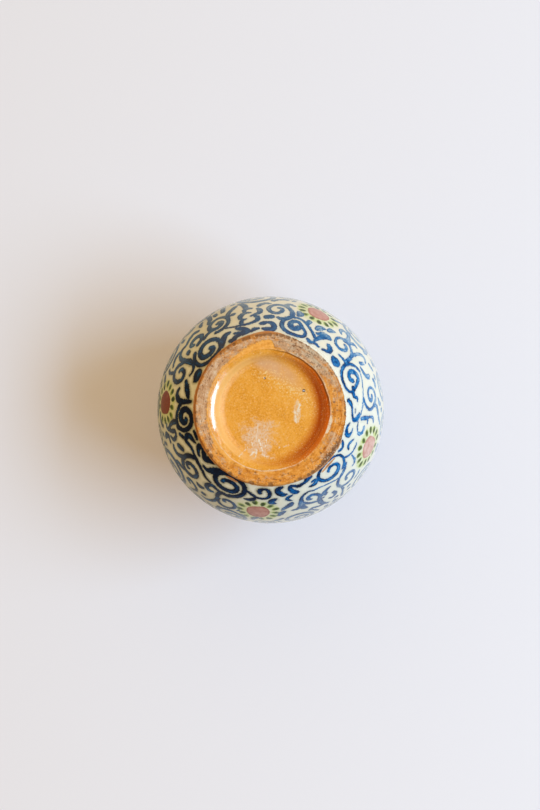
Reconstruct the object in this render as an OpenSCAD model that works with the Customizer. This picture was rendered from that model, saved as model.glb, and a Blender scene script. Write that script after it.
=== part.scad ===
// Globe vase: a hand-thrown earthenware ball on a low foot ring, with a short neck and a rolled lip.
// The clay is thrown as two bowls luted together at the belly, with a foot ring and a neck luted on.
// Three fired glaze coats lie on the clay: painted cream outside, amber inside and amber under the foot.
// Origin at the centre of the standing face, +Z towards the mouth, millimetres.

/* [Globe] */
// Largest outside diameter, over the glaze
globe_d = 160; // [140:1:190]
// Thickness of the thrown clay wall
wall_t = 6; // [4:0.5:8]
// Thickness of the clay floor between the inside and the recess under the foot
floor_t = 7; // [5:0.5:10]
// Radius of the inside corner between floor and wall
floor_round = 10; // [6:1:14]

/* [Foot] */
// Outside diameter of the foot ring
foot_d = 105; // [96:1:114]
// Height of the foot ring below the globe
foot_h = 4; // [3:0.5:5]
// Width of the flat tread that the vase stands on
tread_w = 11.5; // [9:0.5:14]
// Radius of the worn outer edge of the tread
tread_edge_r = 1.5; // [0.5:0.25:2]
// Depth of the recess inside the foot ring
recess_depth = 7; // [6:0.5:8]
// Radius of the cove that runs from the tread to the recess floor
cove_r = 9; // [8.5:0.5:11]

/* [Mouth] */
// Diameter of the mouth in the clay
mouth_d = 54; // [46:1:60]
// Thickness of the neck wall at its waist
neck_t = 5; // [4:0.5:6]
// Height of the waist above the shoulder
waist_h = 6; // [5:0.5:7]
// Radius of the hollow throat between shoulder and lip
throat_r = 8; // [7.5:0.5:10]
// Height of the lip roll's centre above the shoulder
lip_h = 10; // [9:0.5:12]
// Radius of the rolled lip
lip_r = 3.8; // [3.25:0.05:4.5]
// How far the lip roll's centre lies outside the mouth
lip_out = 3.4; // [3:0.1:3.8]

/* [Glaze] */
// Thickness of the painted cream glaze on the outside
glaze_t = 0.5; // [0.3:0.1:0.8]
// Thickness of the amber glaze lining the inside
lining_t = 0.5; // [0.3:0.1:0.8]
// Thickness of the amber glaze in the foot recess
base_glaze_t = 0.5; // [0.3:0.1:0.8]
// Height above the tread at which the recess glaze stops
base_glaze_stop = 0.8; // [0.5:0.1:1.5]

/* [Hidden] */
$fn = 128;

clay_r = globe_d / 2 - glaze_t;
inner_r = clay_r - wall_t;
foot_r = foot_d / 2;
// The glazed globe meets the top outer edge of the foot ring
globe_z = foot_h + sqrt(pow(globe_d / 2, 2) - pow(foot_r, 2));

// The cove's centre, from the inner edge of the tread
recess_r = foot_r - tread_w;
cove_z = recess_depth - cove_r;
cove_x = recess_r - sqrt(pow(cove_r, 2) - pow(cove_z, 2));

// The inside floor, and the round between it and the wall
floor_z = recess_depth + floor_t;
round_z = floor_z + floor_round;
round_x = sqrt(pow(inner_r - floor_round, 2) - pow(globe_z - round_z, 2));
round_dir = [round_x, round_z - globe_z] / (inner_r - floor_round);

// The neck stands on the flat shoulder where the throat's hollow reaches the globe
mouth_r = mouth_d / 2;
throat_x = mouth_r + neck_t + throat_r;
shoulder_r = throat_x - sqrt(pow(throat_r, 2) - pow(waist_h, 2));
shoulder_z = globe_z + sqrt(pow(clay_r, 2) - pow(shoulder_r, 2));
lip_x = mouth_r + lip_out;
lip_z = shoulder_z + lip_h;
// The neck wall runs up into the lip roll to this height
neck_top_z = lip_z - lip_r / 4;
top_z = lip_z + lip_r;
reach = globe_d;

terracotta = "#c9783c";
amber = "#d98a24";
cream = "#efe6cd";

// Half plane to the right of the axis between two heights
module band(from_z, to_z) {
    translate([0, from_z]) square([reach, to_z - from_z]);
}

// Everything at least this far from the axis
module beyond(radius) {
    translate([radius, -reach]) square([reach, 4 * reach]);
}

// Half section of the closed globe, grown by g
module globe_section(g) {
    intersection() {
        translate([0, globe_z]) circle(r = clay_r + g);
        band(foot_h, globe_z + reach);
    }
}

// Half section of the neck with its hollow throat and rolled lip, grown by g, round a bore
module neck_section(g, bore_r) {
    difference() {
        translate([0, shoulder_z]) square([throat_x, neck_top_z - shoulder_z]);
        translate([throat_x, shoulder_z + waist_h]) circle(r = throat_r - g);
    }
    intersection() {
        translate([lip_x, lip_z]) circle(r = lip_r + g);
        beyond(bore_r);
    }
}

// Half section of the inside, drawn in from the clay by g
module inside_section(g) {
    corner = [0, globe_z] + round_dir * (inner_r - g);
    intersection() {
        translate([0, globe_z]) circle(r = inner_r - g);
        band(corner.y, shoulder_z);
    }
    intersection() {
        translate([round_x, round_z]) circle(r = floor_round - g);
        beyond(0);
    }
    polygon([[0, floor_z + g], [round_x, floor_z + g], [round_x, round_z], corner, [0, corner.y]]);
    translate([0, globe_z]) square([mouth_r - g, top_z + lip_r - globe_z]);
}

// Half section of the recess under the foot, drawn in from the clay by g
module recess_section(g) {
    translate([0, -cove_r]) square([cove_x, recess_depth + cove_r - g]);
    translate([cove_x, cove_z]) circle(r = cove_r - g);
}

// Lower half of the thrown globe, with the floor and the upper part of the recess
module lower_bowl() {
    color(terracotta) rotate_extrude() difference() {
        intersection() {
            globe_section(0);
            band(foot_h, globe_z);
        }
        inside_section(0);
        recess_section(0);
    }
}

// Upper half of the thrown globe, luted to the lower bowl at the belly
module upper_dome() {
    color(terracotta) rotate_extrude() difference() {
        intersection() {
            globe_section(0);
            band(globe_z, shoulder_z);
        }
        inside_section(0);
    }
}

// Foot ring luted under the bowl, bare on its tread, with a worn outer edge
module foot_ring() {
    color(terracotta) rotate_extrude() difference() {
        square([foot_r, foot_h]);
        recess_section(0);
        difference() {
            translate([foot_r - tread_edge_r, -foot_h]) square([2 * tread_edge_r, foot_h + tread_edge_r]);
            translate([foot_r - tread_edge_r, tread_edge_r]) circle(r = tread_edge_r);
        }
    }
}

// Neck and rolled lip, luted on the shoulder
module neck_collar() {
    color(terracotta) rotate_extrude() difference() {
        neck_section(0, mouth_r);
        inside_section(0);
    }
}

// Half section of the inside that the lining glaze coats, up to the middle of the lip roll
module lined_section() {
    intersection() {
        inside_section(0);
        band(0, lip_z);
    }
}

// Cream glaze over the globe, the neck and the lip, from the foot ring to where the lining starts
module outer_glaze() {
    color(cream) rotate_extrude() difference() {
        union() {
            globe_section(glaze_t);
            neck_section(glaze_t, mouth_r - lining_t);
        }
        globe_section(0);
        neck_section(0, mouth_r);
        lined_section();
        inside_section(lining_t);
    }
}

// Amber glaze lining the inside and the bore of the neck
module lining_glaze() {
    color(amber) rotate_extrude() difference() {
        lined_section();
        inside_section(lining_t);
    }
}

// Amber glaze pooled over the recess under the foot, short of the tread
module base_glaze() {
    color(amber) rotate_extrude() intersection() {
        difference() {
            recess_section(0);
            recess_section(base_glaze_t);
        }
        band(base_glaze_stop, recess_depth);
    }
}

lower_bowl();
upper_dome();
foot_ring();
neck_collar();
outer_glaze();
lining_glaze();
base_glaze();
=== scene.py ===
import math
import bpy
import numpy as np
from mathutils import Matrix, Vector


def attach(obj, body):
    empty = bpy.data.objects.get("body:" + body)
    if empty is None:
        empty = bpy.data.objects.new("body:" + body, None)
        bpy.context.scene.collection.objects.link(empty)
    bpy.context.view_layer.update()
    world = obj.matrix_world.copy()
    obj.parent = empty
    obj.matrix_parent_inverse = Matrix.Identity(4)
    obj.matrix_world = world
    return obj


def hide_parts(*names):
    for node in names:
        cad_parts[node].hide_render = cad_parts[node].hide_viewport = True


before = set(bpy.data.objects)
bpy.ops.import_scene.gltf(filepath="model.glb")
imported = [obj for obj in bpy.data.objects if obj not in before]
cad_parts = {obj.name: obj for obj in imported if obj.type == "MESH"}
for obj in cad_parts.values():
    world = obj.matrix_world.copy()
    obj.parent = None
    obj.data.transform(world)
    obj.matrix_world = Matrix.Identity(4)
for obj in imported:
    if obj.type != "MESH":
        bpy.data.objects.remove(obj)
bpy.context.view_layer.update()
print("frame loaded:", ", ".join(sorted(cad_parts)))

mm = 0.001
# the glazed globe in mm, and the polar angles of its cut at the foot, its belly and its shoulder
globe = dict(radius=80.0, clayRadius=79.5, centreZ=64.363, footEdge=41.01, belly=90.0, shoulder=154.06)


# smooth curve through knots: cubic between neighbours, with each slope taken across its two neighbours
def smoothThrough(knots, values, at):
    knots, values, at = np.asarray(knots, float), np.asarray(values, float), np.asarray(at, float)
    slopes = np.gradient(values, knots, axis=0) if len(knots) > 2 else np.repeat(
        (values[1:] - values[:1]) / (knots[1] - knots[0]), 2, axis=0)
    k = np.clip(np.searchsorted(knots, at, side="right") - 1, 0, len(knots) - 2)
    gap = knots[k + 1] - knots[k]
    t = (at - knots[k]) / gap
    shape = (-1,) + (1,) * (values.ndim - 1)
    t, gap = t.reshape(shape), gap.reshape(shape)
    return ((2 * t**3 - 3 * t**2 + 1) * values[k] + (t**3 - 2 * t**2 + t) * gap * slopes[k]
            + (3 * t**2 - 2 * t**3) * values[k + 1] + (t**3 - t**2) * gap * slopes[k + 1])


# smooth closed curve over the azimuth: the knots are repeated one turn to each side
def aroundTurn(pairs, azimuth):
    knots, values = np.array(pairs[0::2], float), np.array(pairs[1::2], float)
    turn = np.mod(azimuth, 360.0)
    turns = np.concatenate([knots - 360, knots, knots + 360])
    return smoothThrough(turns, np.tile(values, 3), turn.ravel()).reshape(turn.shape)


# 0 at the first bound and 1 at the second, straight between them and level beyond
def fade(value, none, full):
    return np.clip((value - none) / (full - none), 0, 1)


# 1 between the two middle bounds, falling straight to 0 at the outer ones
def between(value, start, full, last, end):
    return fade(value, start, full) * fade(value, end, last)


# unit vectors from the globe's centre: azimuth about the axis, polar angle up from the foot
def direction(azimuth, polar):
    a, p = np.radians(azimuth), np.radians(polar)
    return np.stack([np.sin(p) * np.cos(a), np.sin(p) * np.sin(a), -np.cos(p) + 0 * a], axis=-1)


# brush scrolls: azimuth, polar angle, squash, brush widths in mm along the stroke,
# then pairs of turn angle and radius in mm; angle 0 lies along the azimuth, 90 away from the foot
brushScrolls = [
    (44.5, 47.5, .78, (2.2, 1.8, 2.6, 3.2, 2.4, 2.0),
     (122, 11.9, 180, 11.9, 270, 11.1, 360, 10.6, 450, 8, 540, 5.4, 630, 3.6, 700, 2.6)),
    (41.2, 63.9, 1, (2.4, 2.4), (-67, 10.4, -20, 9, 73, 5.7, 180, 6.1, 247, 4.7, 325, 1.5)),
    (120, 48.3, .8, (3, 3.2, 3.4, 3.2, 3),
     (111, 13.3, 180, 12.7, 270, 12.7, 360, 9.9, 450, 6.8, 540, 7.5, 630, 5.2, 711, 4.2)),
    (114.8, 63.8, 1, (2.4, 2.4), (-14, 7.5, 90, 6.8, 180, 5.6, 260, 5, 320, 4.3, 341, 2.2)),
    (144.5, 60, 1, (3.4, 3, 2.6), (-70, 12.6, -19, 8.6, 90, 6.4, 180, 7.6, 270, 5.6, 350, 3.4, 420, .6)),
    (174.3, 48.3, .95, (3, 3.4, 4.4, 3.2), (121, 9.8, 180, 7.8, 270, 7.4, 350, 6.3, 450, 3.8, 621, 1.8)),
    (202.5, 58.5, 1, (3.2, 3, 2.6),
     (-36, 11.8, 18, 6.9, 90, 7.3, 180, 7.1, 270, 6.3, 301, 4.1, 400, .7)),
    (224.5, 48.3, .8, (3, 2.6, 3.2, 3.6, 3),
     (130, 14, 180, 13.2, 270, 11, 360, 9.2, 450, 9.6, 540, 7, 630, 4.8, 680, 3.8, 720, 1.1)),
    (238.5, 61, 1, (2.4, 3, 3.4), (243, 9.4, 360, 7.9, 450, 8.4, 540, 6.7, 630, 3.8, 700, 2.8, 790, 1)),
    (274.3, 61.5, 1, (3.2, 2.6, 2.8),
     (-32, 11.8, 9, 8.9, 85, 7, 180, 6.5, 258, 6.3, 315, 4, 430, 1.8)),
    (286.5, 49.5, 1, (2, 2.8, 2.4, 3.6, 4),
     (65, 8.9, 121, 9.1, 180, 9.6, 270, 9.4, 322, 10.1, 355, 5.8, 450, 4.6, 540, 3.7, 630, 3.5, 690, 2.4)),
    (338.5, 49.3, 1, (2.2, 2.8, 2, 2.8, 3.6, 3, 3.6),
     (104, 10.8, 180, 10, 270, 10.2, 326, 10.6, 360, 6.9, 450, 5.7, 530, 4.3, 690, 2.1)),
    (317.8, 57.3, 1, (2.8, 2.2, 3), (-24, 11.5, 4, 9.6, 64, 7.3, 180, 5.9, 270, 6.3, 325, 4.9, 405, 2.4)),
    (352, 61.8, 1, (2.2, 2.6, 2, 2.4, 3),
     (-84, 11, -27, 10.1, 24, 7.4, 90, 7, 180, 5.7, 270, 4.2, 330, 3.7, 430, .8)),
]

# brush lines: triples of azimuth, polar angle and brush width in mm
brushLines = [
    # stems, hooks and tails of the scrolls
    (35.5, 52.6, 2.4, 38.5, 54.8, 2.4, 41.5, 56, 2.4, 44.5, 57, 2.4),
    (128, 42, 3.2, 131, 44, 4.4, 134, 47, 4.4, 136.5, 48.8, 3, 140.3, 49, 1.8),
    (116, 56, 3, 121, 56.5, 3, 122, 60, 3, 121.3, 64, 2.6, 122, 68, 2.6, 124, 71.5, 2.8, 126.5, 73.5, 2.6,
     128.5, 73.3, 1.8),
    (117, 56.3, 2, 124, 56, 2.4, 127.5, 55.5, 3, 130, 57.5, 3, 130, 60, 3.4, 127.5, 61.3, 3,
     125.3, 60.3, 2),
    (130, 54.3, 1.6, 134, 53.8, 2, 138, 52.2, 2.2, 142, 51, 2.6, 146, 50.3, 2.8, 150, 49.7, 2.2,
     155, 49.3, 2.4, 159.5, 51, 2.6),
    (151.5, 58.5, 3.4, 153, 61.5, 3.2, 155, 63.7, 3, 158, 64.5, 2.8, 160.3, 64, 1.8),
    (169.5, 54.3, 3.4, 173, 54.6, 3, 177, 54.2, 2.6, 181, 52.7, 2.6, 184.8, 50.5, 3.6),
    (186, 43.8, 2.2, 185.5, 47.5, 3.4, 185.5, 51, 3.6, 187, 53.8, 3.8, 190, 55, 3, 193.3, 54, 2),
    (172.8, 55, 3.2, 173, 58, 3.4, 171.8, 61.3, 3, 169.8, 63.8, 2.8, 169.5, 65.8, 2.2, 171, 66.6, 2,
     172.3, 65.8, 1.6),
    (169, 64, 2.6, 167.9, 61, 2.8, 167.5, 58, 2.6, 165, 58, 2.6, 163.2, 60, 2.8, 163.3, 62.3, 2.6,
     165, 63.8, 2),
    (200.8, 63.8, 2.3, 200.3, 67, 2.3, 200.2, 69.5, 2.3, 201.3, 71.3, 2.3),
    (203.2, 49.4, 1.6, 206, 48.7, 2, 209, 49.4, 2.4, 211, 51.5, 2.6),
    (232.5, 43.5, 3, 234.5, 45.5, 3.8, 236.5, 47.5, 3.8, 239, 49, 3.4, 241.8, 49.2, 2.4),
    (211, 51, 3.2, 210.3, 55, 3.2, 209.8, 60, 3, 209.6, 64, 2.8, 211, 66.8, 2.8, 213.5, 68.5, 2.8,
     218, 68, 2.4, 221, 69.8, 3, 225, 70.8, 3.2, 227.3, 69, 2.6),
    (222, 58, 3, 225.5, 59, 3.4, 227, 61.5, 3.4, 225.5, 64, 3.4, 222.5, 64.8, 3.4, 219.5, 63.8, 3,
     218.8, 62, 3, 220, 60.6, 2.4),
    (241, 53.8, 1.4, 247, 51.5, 1.4, 252, 51, 1.4),
    (227, 57.5, 2.6, 230, 58.8, 2.6, 234, 58.5, 2.6),
    (245, 62, 3, 246, 66, 3, 248.5, 69.3, 3.2, 251, 72, 3),
    (234.5, 68, 3, 236, 72, 3, 236.3, 76, 3, 235.5, 80, 3),
    (279.5, 65, 2.8, 279, 67.5, 3.2, 280.5, 69, 3, 283, 68, 2.2),
    (274.5, 53.3, 2.2, 277, 52.5, 3, 279.5, 53, 3.4, 282, 55, 3.2),
    (290, 55.2, 2, 293.5, 53, 2.2, 297.5, 50.2, 2.2, 301, 47.5, 2.6, 303, 46, 2.4),
    (321, 49.3, 1.6, 324, 49.6, 2.2, 327, 49.8, 2.4),
    (327.8, 50, 3.4, 327, 54, 3, 326.5, 58, 2.6, 327, 62, 2.6, 328, 66, 2.6, 330, 68.3, 2.6, 332, 68.5, 2.2,
     333.5, 67, 1.8),
    (345, 47.5, 3, 347.5, 47, 3, 350, 46.8, 3, 351.3, 47.3, 2.6, 352, 48.8, 2.2, 354, 48.8, 1.8),
    (317, 61.5, 4, 318, 64, 4.2, 317.5, 67, 3.2, 316, 70, 3, 315.5, 74, 3),
    (319.5, 62, 3, 320.5, 65, 3, 322.5, 67.5, 2.6, 324, 67.3, 2),
    (316.5, 69, 2.6, 313.5, 70, 2.6, 311.8, 68.5, 2.8, 311.8, 66, 2.8, 312.8, 64.5, 1.8),
    (357.5, 64, 2.4, 358, 67.5, 2.4, 361, 69.2, 2.4, 365, 71.5, 2.4, 367, 74, 2.4),
    (58, 72.5, 2, 60, 70, 2.6, 61.4, 66.5, 3.4, 61.3, 62.5, 3.2, 60.3, 59, 2.8, 61.5, 56.3, 2.4,
     64.5, 55, 2.8, 67, 56, 3, 66.8, 57.7, 2.6, 65.5, 58.4, 1.6),
    (61.7, 52.3, 1.4, 65, 51.2, 1.6, 69, 52.3, 2, 71, 54.8, 2.6, 71.8, 58.5, 3.6, 73, 61.8, 3,
     75, 63.5, 2.4, 77.7, 63.6, 1.6),
    (71.4, 57.4, 2.2, 70, 59.6, 2.6, 67.6, 61.4, 2.6, 65, 62.5, 2.4, 62.6, 63.2, 2.4),
    (97.3, 46.3, 2.6, 97.8, 44.8, 3, 96, 43.6, 2.4, 93, 43.5, 2.2, 91.2, 45, 2.6, 90.6, 47, 2.6,
     91.3, 49, 2.2, 94.5, 50.3, 1.8, 98.5, 50.1, 1.8, 102, 48.8, 2, 105.5, 47, 2, 107.5, 46.6, 1.6),
    (100, 50.8, 2.2, 102, 52.4, 3, 105, 53, 2.2, 106.5, 53, 1.2),
    # leaves and hooks round the foot
    (353.2, 42.6, 3, 355, 43.6, 3, 358, 44.6, 2, 362, 44.8, 1.6, 365.5, 45.3, 2.2, 367, 46.5, 3,
     366, 48.2, 3.6, 364, 49.7, 3, 362.3, 50.3, 1.5),
    (-.5, 46.9, 1.2, 2, 46.7, 1.2), (7.5, 49.6, 1.2, 11, 49.8, 1.2, 13, 50.3, 1.2, 14.5, 51.3, 1.2),
    (9.5, 43.8, 1.2, 12, 42.6, 2, 15, 42.6, 2.8, 18, 43.8, 3.4, 18.2, 45, 3, 16, 46.2, 2, 12.8, 46.6, 1),
    (23.5, 42.3, 1.8, 25.5, 43.6, 2.2, 27.5, 44.3, 1.8, 30, 43.8, 2.2, 31.2, 43.2, 1.8),
    (19.3, 49.8, .8, 21, 48.6, 1.8, 23.5, 47.6, 2, 25.5, 47.9, 2.2, 26.7, 48.9, 1.6),
    (56.8, 46.8, 2.4, 58.5, 47.8, 3, 61, 48.1, 2.4, 63.3, 48, 1.2), (57.5, 45.6, 2, 60, 45.8, 2),
    (59.5, 42, 3, 61.5, 42, 4, 63.5, 43.3, 3, 67, 44, 2.6, 69.5, 44.5, 3, 73, 43.2, 2.4, 75.5, 42.8, 2.6,
     76.3, 44.3, 3, 75, 46.3, 3.4, 72.5, 48.2, 3.2, 71.5, 48.5, 2),
    (81.5, 42.3, 2, 83.8, 43, 3.2, 85, 44.5, 3.6, 83.5, 47, 4, 81, 48, 3, 79.5, 48, 1.8),
    (136.5, 41.5, 2, 140, 42.5, 4.2, 143, 44.5, 4.4, 146.5, 43.5, 3.4, 150, 42.2, 3, 153, 43.5, 3.6,
     150.5, 45.8, 2.6, 147.5, 47, 2),
    (158.5, 43, 2.2, 161, 42.8, 2.8, 164.5, 43.2, 2),
    (156.5, 45, 1.6, 159.5, 46, 3, 162.3, 47.3, 3.8, 162.5, 49.3, 3.8, 160.5, 51, 3, 158.5, 51, 2),
    (188.5, 45.8, 2.4, 191.5, 46.8, 3.6, 195, 48.4, 4, 198.8, 50.3, 2.6),
    (200.3, 44.8, 1.6, 203, 44, 4.6, 206.5, 44.3, 5.4, 209.5, 44, 2),
    (239.5, 43.3, 2.6, 241.8, 43, 3.4, 244.5, 44.2, 3, 248, 44.3, 2.6, 252, 44.2, 2.6, 254, 44.7, 3,
     253, 46.2, 3.4, 250.5, 48, 3.2, 247.5, 49.5, 2.4),
    (245, 46.8, 2.2, 248, 45.9, 2.2, 251, 45.2, 2.2), (256, 44.2, 1.8, 258.5, 45.2, 2.8, 261.3, 45.3, 2.2),
    (265, 44.7, 2.4, 268.5, 44, 3.6, 272, 44.5, 3.4, 272.5, 46.3, 3.2, 271, 48.5, 3, 268, 49.3, 2.2,
     264.5, 48.8, 3, 263.2, 48.8, 2),
    (297.5, 43.5, 2.4, 299.8, 42.7, 3, 302.5, 43.5, 2.4, 305, 43.4, 2.4, 307, 43, 1.8),
    (302.5, 44.8, 2, 302.8, 46.5, 3, 304, 48.5, 3.2, 306, 51, 4, 308.5, 53, 4, 310.5, 53, 2.4),
    (301.5, 50.5, 2.4, 305, 52.5, 4.4, 308.5, 53.5, 3.6),
    (310.3, 43.2, 1.8, 312.8, 44, 2.6, 315, 45.3, 3.4, 314.3, 47.3, 4, 312, 48.5, 3),
    (319, 45, 1.5, 321.5, 44.3, 4.6, 323.8, 44, 6.4, 326.3, 44.8, 2),
    # leaves, commas and dots between the scrolls
    (21, 52.8, 1.4, 24, 53, 1.6, 27, 52.6, 1.4, 29.5, 51.8, 1.6, 33, 49.3, 1.6),
    (29, 53.5, 1.4, 29.8, 56, 1.8, 31, 58.3, 2.2, 32.5, 59.3, 1.8, 34, 59.3, 1.6),
    (5.6, 52.2, 2.6, 5, 54.5, 2.8, 4.5, 58, 2.2, 4, 61, 2, 4.6, 63.4, 2.4, 6.6, 64.4, 1.6),
    (5, 57.5, 2.2, 7.8, 57.8, 1.5),
    (52.5, 57.3, 1.6, 55, 57.7, 2.6, 57.2, 59, 3.6, 58.8, 60, 3.2, 60.6, 60.2, 2.4),
    (56.2, 60.4, 2.6, 57, 61.4, 2.2), (58.8, 63, 1.8, 59.2, 63, 1.8),
    (52.5, 64, 2.6, 52, 66.5, 3.2, 53, 68.3, 2.6, 55, 68.6, 2, 56.3, 67.3, 1.4),
    (47.5, 65.5, 1.8, 47.3, 68, 2.2, 48.3, 71.5, 2.2, 49.7, 74.5, 2.4, 50, 78, 2.4),
    (43.8, 71.8, 3, 44.2, 71.8, 3), (34.5, 69.5, 2, 36, 70.5, 2, 39, 70.5, 2),
    (71.8, 61.5, 3.4, 71.2, 64, 3.8, 70, 65, 2.6),
    (76, 49.7, 1.6, 78.5, 50.2, 2.4, 79.5, 51.5, 2.6, 78.5, 52.8, 2.2, 76.7, 53.5, 1),
    (77.3, 56, 2.6, 78.5, 57.5, 4, 80.5, 58.8, 3.2, 82.5, 60.2, 2.6, 83.3, 61.5, 1.6),
    (82.5, 63.5, 2.6, 84, 65.2, 3.8, 85.5, 67.3, 2.4),
    (86.5, 50.7, 2, 89, 51.8, 3.6, 90, 53.2, 3.2, 87.5, 54, 2.2),
    (60.5, 70.5, 2.4, 64, 69.7, 2.4, 66.5, 68.4, 2.4, 68.5, 69.6, 2.4),
    (67, 71, 1.8, 65.5, 74, 1.8, 64.5, 77, 1.8),
    (84, 73, 2.8, 85.5, 74.8, 2.8, 88, 77, 2.8), (107.5, 66, 1.4, 108.3, 67.5, 1.4),
    (105.5, 72, 2.3, 104, 74.5, 2.3, 103, 78, 2.3), (118.2, 72.8, 2.2, 118.4, 74.8, 2.2),
    (97, 71.5, 2.5, 98.5, 74, 2.5, 99.5, 77, 2.5), (131, 63.7, 2.4, 133, 64.8, 3.4, 135, 64, 2),
    (128.5, 69, 3.4, 128.9, 69, 3.4), (146, 66, 2.4, 148.5, 67, 3, 150.5, 67.5, 2.6, 151.5, 69.5, 2),
    (135, 77, 2.2, 132.8, 72, 2.2, 134, 69.3, 2.2, 136.5, 68, 2.4, 139.5, 68, 2.8, 139.8, 69.8, 2.8,
     138, 71, 2),
    (162.8, 52.3, 2.5, 165, 54.2, 2.5), (156, 56.5, 3.5, 158.8, 58.7, 3.5),
    (162.3, 66.3, 2.2, 164, 66.2, 2.2),
    (165.5, 66.3, 3, 166.5, 68.5, 4, 165.5, 70.8, 2.6), (162, 73, 2.6, 162.8, 75.5, 2.6),
    (171.5, 71.5, 2.4, 172.5, 73.3, 2.8, 174.5, 74.5, 2.8, 177, 75, 2.4),
    (195, 72.8, 2.6, 196.5, 74.2, 3.4, 198, 75.8, 2.4), (214.7, 60, 3.4, 214.9, 61, 3.4),
    (204, 68.3, 2.2, 206.5, 69.8, 2.8, 209, 70.6, 3, 212, 69.6, 2.4),
    (230, 71.5, 2.4, 230.5, 74.5, 3.2, 231.5, 76.5, 2.4), (218, 75.5, 3, 218, 79, 3),
    (239.8, 72, 3, 239.5, 75, 3), (244, 72, 3, 244.5, 76, 3, 245, 80, 3),
    (267.5, 53.6, 3.6, 270.5, 53.8, 3.6),
    (247, 51.5, 1.6, 251, 50.8, 2, 255, 50.3, 2, 259, 50.8, 2.4, 261.8, 52.3, 3, 262, 54.2, 3,
     260.5, 55.3, 2),
    (258.3, 56.2, 1.8, 261, 57, 2.6, 263.5, 58.2, 3, 264, 60.3, 3.2, 262.8, 62.7, 2.4),
    (251.3, 51, 2.4, 251.5, 53.3, 2.6, 252.5, 54.5, 2.4, 254.5, 54.5, 1.6),
    (251.5, 56.5, 2.6, 252.3, 58.8, 3.4, 254, 60, 3, 256.5, 60, 2.4, 258.3, 59.2, 1.4),
    (248.3, 63.2, 3.2, 248.7, 63.2, 3.2), (255, 62.2, 2.6, 255.5, 64, 3, 257.5, 64.8, 2.8, 259.3, 64, 1.8),
    (256.3, 65.5, 3, 256, 69, 3.2, 255, 72, 2.8, 253, 74.5, 2.4),
    (263.5, 66, 2.8, 265, 67.8, 3.2, 267.5, 68.7, 2.8, 269.5, 67.8, 1.8),
    (286.5, 58.3, 2.4, 287.3, 60.3, 4.6, 286.5, 62.3, 3), (293, 54.2, 3.4, 293.8, 56.5, 3.4),
    (299.8, 53.2, 2.4, 300.8, 55.5, 4.6, 303.5, 57.3, 2.6),
    (271.5, 72.5, 3, 273, 74, 3, 276.5, 75.5, 3, 278.5, 76, 3),
    (306.3, 58, 3, 307.5, 60, 4, 309.3, 61, 2.4),
    (332.7, 61, 3, 333.5, 64.3, 2.6), (306.5, 74.5, 3, 309, 77, 3), (328.5, 73, 3, 329.5, 76, 3),
    (335, 59.5, 2, 338, 60, 2.8, 340.5, 61.3, 3.2, 341.3, 63.5, 3.6, 340.8, 64.8, 2.6),
    (343.5, 68.3, 2.4, 345.5, 69.3, 3, 348, 68.8, 2), (335.3, 70.8, 2.5, 338.5, 72.3, 2.5),
    (354, 70.5, 2, 356.5, 72, 3.2, 356.8, 73.8, 2.6),
]

# lines brushed with thin colour
paleLines = [
    (44, 56.8, 1.3, 49, 55.2, 1.3, 55, 53.2, 1.3, 61, 52, 1.3),
    (14.8, 51.5, 2.5, 15, 53, 2.5, 13, 55, 2.5, 10.5, 55.3, 2.5),
    (335, 56.8, 1.3, 341, 56.3, 1.3, 346, 55, 1.3, 351, 53.9, 1.3, 356, 53, 1.3, 360, 51.9, 1.3,
     363, 51, 1.3),
]

# smears where the glaze has drawn back and the clay shows
clayLines = [(37, 43.6, .8, 44, 43.4, 1.6, 50, 44, 1.0), (24, 41.3, 1.4, 30, 41.4, 1.6),
             (115, 43.2, .8, 120, 43, 1.4, 124, 43.3, .8)]

# large scrolls along the belly: azimuth, polar angle and reach in mm, all brushed to one spiral
bellyScrolls = [(75, 77, 9.5), (111, 78.5, 10.5), (150, 79.5, 13), (207, 82.5, 11), (263, 81.5, 12.5),
                (320, 80.5, 12.5), (348, 81.5, 9.5), (36, 82, 10), (183, 84, 8), (235, 84.5, 7),
                (293, 86, 8), (93, 83, 7), (131, 84, 7), (7, 83, 8)]
bellySpiral = (85, 1.5, 115, 1.27, 150, 1.1, 180, 1.02, 270, 1.0, 360, .95, 450, .72, 540, .6, 630, .4,
               720, .25, 800, .08)
bellyBrush = np.array([.23, .31, .27])  # brush width along that spiral, as a share of its reach
bellyWidest = 3.4  # mm

# rosettes: azimuth and polar angle of the centre, and how deep the rose fired
rosettes = [(20.6, 66.8, -.2), (97, 63.8, .1), (183.8, 67.4, .56), (296.5, 69.6, 0)]
rosette = dict(halfWidth=8.4, halfHeight=9.4, roseWaver=.5, petals=14, petalRing=12.7, petalLong=2.9,
               petalWide=2.05, petalSway=.7, petalVary=.2, halo=16.8)

# how thick the cobalt lies round the vase: 0 thin wash, 0.5 clear blue, 1 almost black
cobaltWeight = (0, .45, 30, .38, 60, .56, 80, .68, 100, .84, 118, .94, 140, .98, 165, 1, 195, .95, 215, .8,
                235, .62, 260, .45, 290, .35, 320, .40)
# how smoky the cobalt fired round the vase
smokeWeight = (0, 0, 60, 0, 120, 0, 190, 0, 212, .2, 240, .62, 270, .58, 300, .3, 330, .05)
# how much smokier it is away from the foot, coming in between two polar angles
smokeAbove = (0, .1, 30, .3, 55, .62, 80, .45, 120, .3, 200, .35, 230, .1, 260, 0, 320, 0)
smokeBand = (50, 62)
# polar angle of the glaze's lower edge round the foot; below 41 it runs down over the foot ring
glazeLine = (0, 40.3, 15, 40.6, 30, 41.5, 45, 41.7, 60, 41.4, 75, 41.0, 90, 41.3, 105, 41.5, 120, 41.2,
             135, 41.7, 165, 41.8, 195, 41.8, 215, 41.7, 240, 41.8, 255, 42.2, 268, 42.8, 278, 41.6,
             287, 40.4, 300, 39.7, 330, 39.4, 345, 39.7)
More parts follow.
